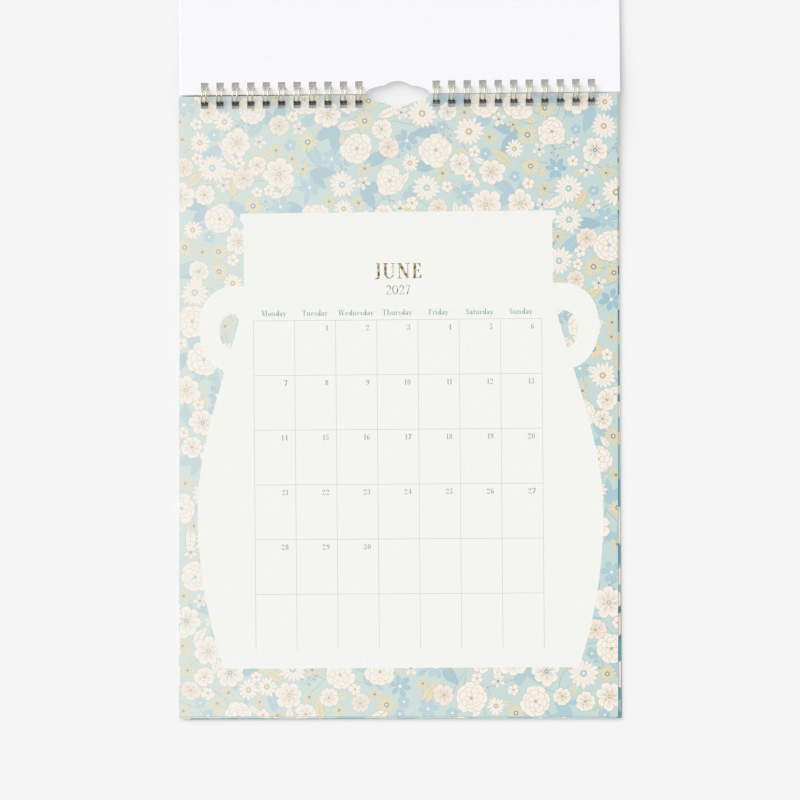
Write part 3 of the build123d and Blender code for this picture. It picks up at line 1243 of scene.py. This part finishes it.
# %% The tree that lays a pile
def pile_tree():
    inputs = {"Sheets": "Int", "Rise": "Float", "Least Turn": "Float", "Most Turn": "Float",
              "Shift": "Float", "Seed": "Int", "Print": "Material"}
    tree, start, end = new_tree("Lay a pile of sheets", inputs)
    given = start.outputs
    step = add_node(tree, "ShaderNodeCombineXYZ", {"Z": given["Rise"]})
    line_inputs = {"Count": given["Sheets"], "Offset": step}
    line = add_node(tree, "GeometryNodeMeshLine", line_inputs, mode="OFFSET")
    back = add_math(tree, "MULTIPLY", given["Shift"], -1.0)
    least = add_node(tree, "ShaderNodeCombineXYZ", {"X": back, "Y": back})
    most = add_node(tree, "ShaderNodeCombineXYZ", {"X": given["Shift"], "Y": given["Shift"]})
    shift_inputs = {"Min": least, "Max": most, "Seed": given["Seed"]}
    shift = add_node(tree, "FunctionNodeRandomValue", shift_inputs, data_type="FLOAT_VECTOR")
    moved = add_node(tree, "GeometryNodeSetPosition", {"Geometry": line, "Offset": shift})
    turn_inputs = {2: given["Least Turn"], 3: given["Most Turn"], "Seed": given["Seed"]}
    turn = add_node(tree, "FunctionNodeRandomValue", turn_inputs, data_type="FLOAT")
    spin = add_node(tree, "ShaderNodeCombineXYZ", {"Z": turn.outputs[1]})
    sheet_inputs = {"Points": moved, "Instance": given["Geometry"], "Rotation": spin}
    instances = add_node(tree, "GeometryNodeInstanceOnPoints", sheet_inputs)
    realized = add_node(tree, "GeometryNodeRealizeInstances", {"Geometry": instances})
    printed = add_node(tree, "GeometryNodeMaterialSelection", {"Material": given["Print"]})
    finish_inputs = {"Geometry": realized, "Selection": printed, "Material": given["Print"]}
    set_inputs(tree, end, {0: add_node(tree, "GeometryNodeSetMaterial", finish_inputs)})
    return tree


pile = pile_tree()
print("pile tree:", len(pile.nodes), "nodes")

# %% August to December, and February to May
plain_page = Page("other_months")
december_low = coming_flat + leaf_thickness - sheet_thickness
december = make_sheet(
    "december", plain_page, -1, december_low + sheet_thickness, december_low, inks,
    trim=0.4, extra=coming_extra
)
later_values = {"Sheets": coming_months - 1, "Rise": leaf_thickness * MM, "Least Turn": radians(-0.11),
                "Most Turn": radians(0.04), "Shift": 0.04 * MM, "Seed": 3, "Print": inks["other_months"]}
later_leaves = run_tree(december, pile, later_values, "coming_leaves_august_to_december")
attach(later_leaves, "coming_leaves")
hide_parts("coming_leaves")

february_low = turned_flat + 2 * leaf_thickness - sheet_thickness
february = make_sheet(
    "february", plain_page, 1, february_low, february_low + sheet_thickness, inks, trim=1.4
)
turned_values = {"Sheets": turned_months - 1, "Rise": leaf_thickness * MM, "Least Turn": radians(-0.1),
                 "Most Turn": radians(0.0), "Shift": 0.05 * MM, "Seed": 8, "Print": inks["other_months"]}
turned_pile = run_tree(february, pile, turned_values, "turned_leaves_february_to_may")
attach(turned_pile, "turned_leaves")
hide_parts("turned_leaves")

# %% [markdown]
# ## The twin-loop wire
# A comb is one long wire, bent flat into pairs of prongs and then closed into loops. Its line repeats
# with the holes, so one loop's line is drawn once, Geometry Nodes set it at every hole and weld the ends,
# and the welded line then gets its round section. The loops lean a little, each by its own amount.

# %% One twin loop's line
seam_angle = 40.0
seam_bend_radius = 1.0
weld_distance = 0.01  # the ends of neighbouring loops' lines meet within it


def twin_loop():
    """Points from the middle of one straight run to the next, round both wires of a loop."""
    half_pair = pair_spacing / 2
    outwards = Vector((0, -sin(radians(seam_angle)), -cos(radians(seam_angle))))
    onwards = Vector((1, 0, 0)).cross(outwards)

    def on_loop(degree):
        angle = radians(degree)
        return Vector((half_pair, loop_radius * sin(angle), axis_height - loop_radius * cos(angle)))

    loop = [on_loop((360 - seam_angle) * n / 36) for n in range(37)]
    bend_middle = loop[-1] + Vector((seam_bend_radius, 0, 0))
    for n in range(1, 6):
        turn = radians(90 * n / 5)
        loop.append(bend_middle + (onwards * sin(turn) - Vector((cos(turn), 0, 0))) * seam_bend_radius)
    run_end = loop[-1].copy()
    run_end.x = hole_pitch / 2
    right_half = loop + [run_end]
    left_half = [Vector((-point.x, point.y, point.z)) for point in reversed(right_half)]
    turns = [pi + pi * n / 8 for n in range(1, 8)]
    tip = [Vector((half_pair * cos(turn), half_pair * sin(turn), wire_radius)) for turn in turns]
    return left_half + tip + right_half


loop_line = twin_loop()
print(f"one twin loop: {len(loop_line)} points")

# %% The tree that makes a comb
def comb_tree():
    inputs = {"Loops": "Int", "First Loop": "Float", "Pitch": "Float", "Lean": "Float",
              "Lean Drift": "Float", "Wire Diameter": "Float", "Sides": "Int", "Finish": "Material"}
    tree, start, end = new_tree("Bend a comb of twin loops", inputs)
    given = start.outputs
    first = add_node(tree, "ShaderNodeCombineXYZ", {"X": given["First Loop"]})
    step = add_node(tree, "ShaderNodeCombineXYZ", {"X": given["Pitch"]})
    line_inputs = {"Count": given["Loops"], "Start Location": first, "Offset": step}
    line = add_node(tree, "GeometryNodeMeshLine", line_inputs, mode="OFFSET")
    loop_inputs = {"Points": line, "Instance": given["Geometry"]}
    instances = add_node(tree, "GeometryNodeInstanceOnPoints", loop_inputs)
    realized = add_node(tree, "GeometryNodeRealizeInstances", {"Geometry": instances})
    weld_inputs = {"Geometry": realized, "Distance": weld_distance * MM}
    welded = add_node(tree, "GeometryNodeMergeByDistance", weld_inputs)

    place = add_node(tree, "GeometryNodeInputPosition", {})
    axes = add_node(tree, "ShaderNodeSeparateXYZ", {"Vector": place})
    along = add_node(tree, "ShaderNodeCombineXYZ", {"X": axes.outputs["X"]})
    drift = add_math(tree, "SUBTRACT", add_noise(tree, along, 150.0, 1.0), 0.5)
    own_lean = add_math(tree, "MULTIPLY_ADD", drift, given["Lean Drift"], given["Lean"])
    sideways = add_math(tree, "MULTIPLY", own_lean, axes.outputs["Y"])
    offset = add_node(tree, "ShaderNodeCombineXYZ", {"X": sideways})
    leaning = add_node(tree, "GeometryNodeSetPosition", {"Geometry": welded, "Offset": offset})

    curve = add_node(tree, "GeometryNodeMeshToCurve", {"Mesh": leaning})
    radius = add_math(tree, "MULTIPLY", given["Wire Diameter"], 0.5)
    section_inputs = {"Resolution": given["Sides"], "Radius": radius}
    section = add_node(tree, "GeometryNodeCurvePrimitiveCircle", section_inputs)
    wire_inputs = {"Curve": curve, "Profile Curve": section, "Fill Caps": True}
    wire = add_node(tree, "GeometryNodeCurveToMesh", wire_inputs)
    finish_inputs = {"Geometry": wire, "Material": given["Finish"]}
    set_inputs(tree, end, {0: add_node(tree, "GeometryNodeSetMaterial", finish_inputs)})
    return tree


comb = comb_tree()
print("comb tree:", len(comb.nodes), "nodes")

# %% Bend both combs
wire_finish = wire_material("champagne_wire")


def bend_comb(name, node, first_loop, lean):
    edges = [(n, n + 1) for n in range(len(loop_line) - 1)]
    mesh = bpy.data.meshes.new("twin_loop_line")
    mesh.from_pydata([point * MM for point in loop_line], edges, [])
    values = {"Loops": loops_per_comb, "First Loop": first_loop * MM, "Pitch": hole_pitch * MM,
              "Lean": lean, "Lean Drift": 0.05, "Wire Diameter": wire_diameter * MM, "Sides": 12,
              "Finish": wire_finish}
    made = run_tree(add_object("twin_loop_line", mesh), comb, values, name)
    made.data.shade_smooth()
    made.data.set_sharp_from_angle(angle=radians(60))
    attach(made, "base")
    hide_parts(node)


last_hole = first_hole + (loops_per_comb - 1) * hole_pitch
bend_comb("wire_comb_left", "binding_wire_left", -last_hole, 0.06)
bend_comb("wire_comb_right", "binding_wire_right", first_hole, 0.02)

# %% [markdown]
# ## The backing board
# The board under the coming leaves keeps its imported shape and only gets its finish.

# %% Finish the board
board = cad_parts["backing_board"]
board.data.materials.clear()
board.data.materials.append(board_material("greyboard"))
print("backing board:", board.data.materials[0].name)

# %% [markdown]
# ## Floor, light and camera
# The picture was taken from almost straight above with a long lens, on a pale floor, under a broad
# soft light from the upper left. The light and the world together light a level sheet just so much
# that a colour renders as it is written.

# %% The floor
floor_half_width = 8.0
floor_corners = [(x * floor_half_width, y * floor_half_width, 0.0) for x, y in square_corners]
floor_mesh = bpy.data.meshes.new("floor")
floor_mesh.from_pydata(floor_corners, [], [(0, 1, 2, 3)])
floor = add_object("floor", floor_mesh)
floor_material, floor_tree, floor_surface, floor_place = new_material("pale_floor")
floor_colour = linear((245, 245, 245))
floor_glow = 0.3  # how much of the floor's own paleness the shadows keep, as on a light table
cut_glow = 0.2  # a painted light: how much more of the floor's paleness shows in the thumb cut
gap_middle = 1.1  # how far below the binding's middle the painted shade strip's middle is
gap_reach = 4.1  # from the painted shade strip's middle to its sides
cut_reach = 12.0  # from the painted shade strip's middle to the end of the thumb cut's painted light
floor_inputs = {"Base Color": floor_colour, "Roughness": 0.9, "Specular IOR Level": 0.0}
set_inputs(floor_tree, floor_surface, floor_inputs)
glow = add_node(floor_tree, "ShaderNodeEmission", {"Color": floor_colour})
path = add_node(floor_tree, "ShaderNodeLightPath", {})
floor_axes = add_node(floor_tree, "ShaderNodeSeparateXYZ", {"Vector": floor_place})


def floor_sum(operation, *values):
    return add_math(floor_tree, operation, *values)


# Painted shade: the floor doesn't glow in a strip under the narrow gap between the sheets and under
# the loops' lower ends, so that their real shade, too deep for light, shows dark. Painted light: under
# the thumb cut it glows more.
sideways = floor_sum("ABSOLUTE", floor_axes.outputs["X"])
from_gap = floor_sum("ABSOLUTE", floor_sum("ADD", floor_axes.outputs["Y"], gap_middle * MM))
under_cut = floor_sum("LESS_THAN", sideways, cut_width / 2 * MM)
under_page = floor_sum("LESS_THAN", sideways, page_side * MM)
under_gap = floor_sum("MULTIPLY", under_page, floor_sum("LESS_THAN", from_gap, gap_reach * MM))
painted_shade_strip = floor_sum("MULTIPLY", under_gap, floor_sum("SUBTRACT", 1.0, under_cut))
near_binding = floor_sum("LESS_THAN", from_gap, cut_reach * MM)
painted_cut_light = floor_sum("MULTIPLY", floor_sum("MULTIPLY", under_cut, near_binding), cut_glow)
glow_here = floor_sum("ADD", painted_cut_light, floor_sum("MULTIPLY", floor_sum("SUBTRACT", 1.0, painted_shade_strip), floor_glow))
seen = floor_sum("MAXIMUM", path.outputs["Is Camera Ray"], path.outputs["Is Glossy Ray"])
blend_inputs = {0: floor_sum("MULTIPLY", seen, glow_here), 1: floor_surface, 2: glow}
blend = add_node(floor_tree, "ShaderNodeMixShader", blend_inputs)
set_inputs(floor_tree, floor_tree.nodes["Material Output"], {"Surface": blend})
floor_mesh.materials.append(floor_material)

# %% The light
lamp_share = 0.5
lamp_from_vertical = 44.0
lamp_azimuth = 131.0
lamp_spread = 58.0
lamp = bpy.data.lights.new("soft_lamp", "SUN")
lamp.angle = radians(lamp_spread)
lamp.energy = lamp_share * pi / cos(radians(lamp_from_vertical))
lamp_object = add_object("soft_lamp", lamp)
lamp_direction = Vector(
    (
        sin(radians(lamp_from_vertical)) * cos(radians(lamp_azimuth)),
        sin(radians(lamp_from_vertical)) * sin(radians(lamp_azimuth)),
        cos(radians(lamp_from_vertical)),
    )
)
lamp_object.rotation_mode = "QUATERNION"
lamp_object.rotation_quaternion = lamp_direction.to_track_quat("Z", "Y")
lamp_object.location = lamp_direction * 2.0
world = bpy.data.worlds.new("studio")
bpy.context.scene.world = world
world.use_nodes = True
world.node_tree.nodes["Background"].inputs["Color"].default_value = (1.0, 1.0, 1.0, 1.0)
world.node_tree.nodes["Background"].inputs["Strength"].default_value = 1.0 - lamp_share
print(f"lamp {lamp.energy:.2f}, world {1 - lamp_share:.2f}")

# %% The camera
picture_width = 437.4  # millimetres of floor across the picture
picture_middle = Vector((0.0, -167.0, 2.0)) * MM
camera_distance = 2.5
camera_from_right = 3.5
camera_roll = 0.4
camera = bpy.data.cameras.new("camera")
camera.sensor_width = 36.0
camera.lens = camera.sensor_width * camera_distance / (picture_width * MM)
camera_object = add_object("camera", camera)
backwards = Vector((sin(radians(camera_from_right)), 0.0, cos(radians(camera_from_right))))
upwards = Vector((sin(radians(camera_roll)), cos(radians(camera_roll)), 0.0))
rightwards = upwards.cross(backwards).normalized()
upwards = backwards.cross(rightwards)
camera_object.matrix_world = Matrix.Translation(picture_middle + backwards * camera_distance) @ Matrix(
    (rightwards, upwards, backwards)
).transposed().to_4x4()
bpy.context.scene.camera = camera_object
bpy.context.scene.view_settings.view_transform = "Standard"
